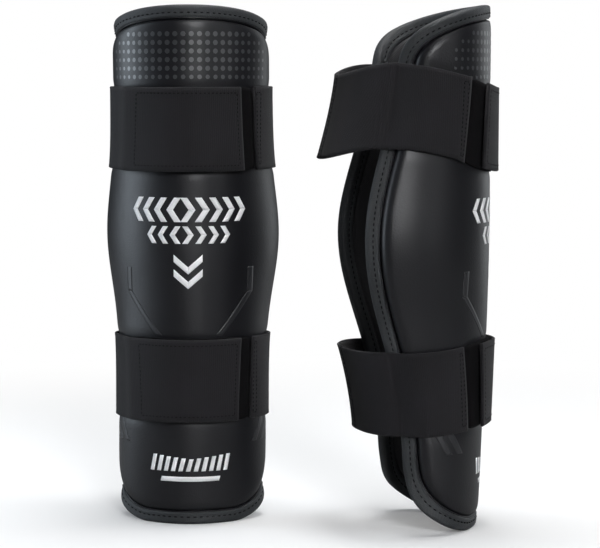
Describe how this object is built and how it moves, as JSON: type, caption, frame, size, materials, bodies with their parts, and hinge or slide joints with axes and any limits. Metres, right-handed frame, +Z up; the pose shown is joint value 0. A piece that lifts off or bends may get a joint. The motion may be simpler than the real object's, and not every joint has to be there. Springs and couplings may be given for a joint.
{
  "type": "padded shin guard pair",
  "caption": "Pair of padded wrap-around shin guards with bound edges, foam padding and wide elastic straps that close at the front with hook-and-loop tabs.",
  "frame": {"origin": "middle of the pair's bounding box, on the surface that it stands on", "axes": "+Z up, the left guard's front faces -Y, the right guard's front faces +X"},
  "size_m": [0.2867, 0.1779, 0.375],
  "materials": {
    "cover_leather": "smooth synthetic leather, satin",
    "cover_print": "flat printed ink",
    "impact_foam": "closed-cell foam",
    "comfort_foam": "soft foam",
    "lining_fabric": "brushed knit",
    "binding_tape": "satin woven tape",
    "stitch_thread": "twisted thread",
    "loop_fleece": "loop pile",
    "strap_elastic": "ribbed elastic webbing",
    "hook_plastic": "moulded hooks"
  },
  "bodies": {
    "left_shell": {"left_outer_cover": "cover_leather", "left_impact_foam": "impact_foam", "left_comfort_foam": "comfort_foam", "left_inner_lining": "lining_fabric", "left_edge_binding": "binding_tape", "left_upper_loop_panel": "loop_fleece", "left_upper_strap_anchor": "strap_elastic", "left_lower_loop_panel": "loop_fleece", "left_lower_strap_anchor": "strap_elastic"},
    "left_upper_band": {"left_upper_strap_band": "strap_elastic"},
    "left_upper_tab": {"left_upper_strap_tab": "strap_elastic", "left_upper_hook_patch": "hook_plastic"},
    "left_lower_band": {"left_lower_strap_band": "strap_elastic"},
    "left_lower_tab": {"left_lower_strap_tab": "strap_elastic", "left_lower_hook_patch": "hook_plastic"},
    "right_shell": {"right_outer_cover": "cover_leather", "right_impact_foam": "impact_foam", "right_comfort_foam": "comfort_foam", "right_inner_lining": "lining_fabric", "right_edge_binding": "binding_tape", "right_upper_loop_panel": "loop_fleece", "right_upper_strap_anchor": "strap_elastic", "right_lower_loop_panel": "loop_fleece", "right_lower_strap_anchor": "strap_elastic"},
    "right_upper_band": {"right_upper_strap_band": "strap_elastic"},
    "right_upper_tab": {"right_upper_strap_tab": "strap_elastic", "right_upper_hook_patch": "hook_plastic"},
    "right_lower_band": {"right_lower_strap_band": "strap_elastic"},
    "right_lower_tab": {"right_lower_strap_tab": "strap_elastic", "right_lower_hook_patch": "hook_plastic"}
  },
  "joints": [
    {"name": "right_guard_lift", "type": "slide", "parent": "left_shell", "child": "right_shell", "axis": [0, 0, 1], "range_m": [0, 0.4]},
    {"name": "left_upper_strap_open", "type": "hinge", "parent": "left_shell", "child": "left_upper_band", "pos_m": [-0.0165, 0.0363, 0.2865], "axis": [0, 0, -1], "range_deg": [0, 22]},
    {"name": "left_upper_tab_peel", "type": "hinge", "parent": "left_upper_band", "child": "left_upper_tab", "pos_m": [-0.1399, 0.0109, 0.2865], "axis": [0, 0, -1], "range_deg": [0, 110]},
    {"name": "left_lower_strap_open", "type": "hinge", "parent": "left_shell", "child": "left_lower_band", "pos_m": [-0.0204, 0.03, 0.105], "axis": [0, 0, -1], "range_deg": [0, 22]},
    {"name": "left_lower_tab_peel", "type": "hinge", "parent": "left_lower_band", "child": "left_lower_tab", "pos_m": [-0.1365, 0.0068, 0.105], "axis": [0, 0, -1], "range_deg": [0, 110]},
    {"name": "right_upper_strap_open", "type": "hinge", "parent": "right_shell", "child": "right_upper_band", "pos_m": [0.077, -0.08626, 0.302], "axis": [0, 0, 1], "range_deg": [0, 22]},
    {"name": "right_upper_tab_peel", "type": "hinge", "parent": "right_upper_band", "child": "right_upper_tab", "pos_m": [0.07974, 0.03811, 0.302], "axis": [0, 0, 1], "range_deg": [0, 110]},
    {"name": "right_lower_strap_open", "type": "hinge", "parent": "right_shell", "child": "right_lower_band", "pos_m": [0.08032, -0.08263, 0.1012], "axis": [0, 0, 1], "range_deg": [0, 22]},
    {"name": "right_lower_tab_peel", "type": "hinge", "parent": "right_lower_band", "child": "right_lower_tab", "pos_m": [0.08276, 0.03539, 0.1012], "axis": [0, 0, 1], "range_deg": [0, 110]}
  ],
  "couplings": [
    {"joint": "left_upper_tab_peel", "follows": "left_upper_strap_open", "ratio": 5},
    {"joint": "left_lower_tab_peel", "follows": "left_lower_strap_open", "ratio": 5},
    {"joint": "right_upper_tab_peel", "follows": "right_upper_strap_open", "ratio": 5},
    {"joint": "right_lower_tab_peel", "follows": "right_lower_strap_open", "ratio": 5}
  ]
}
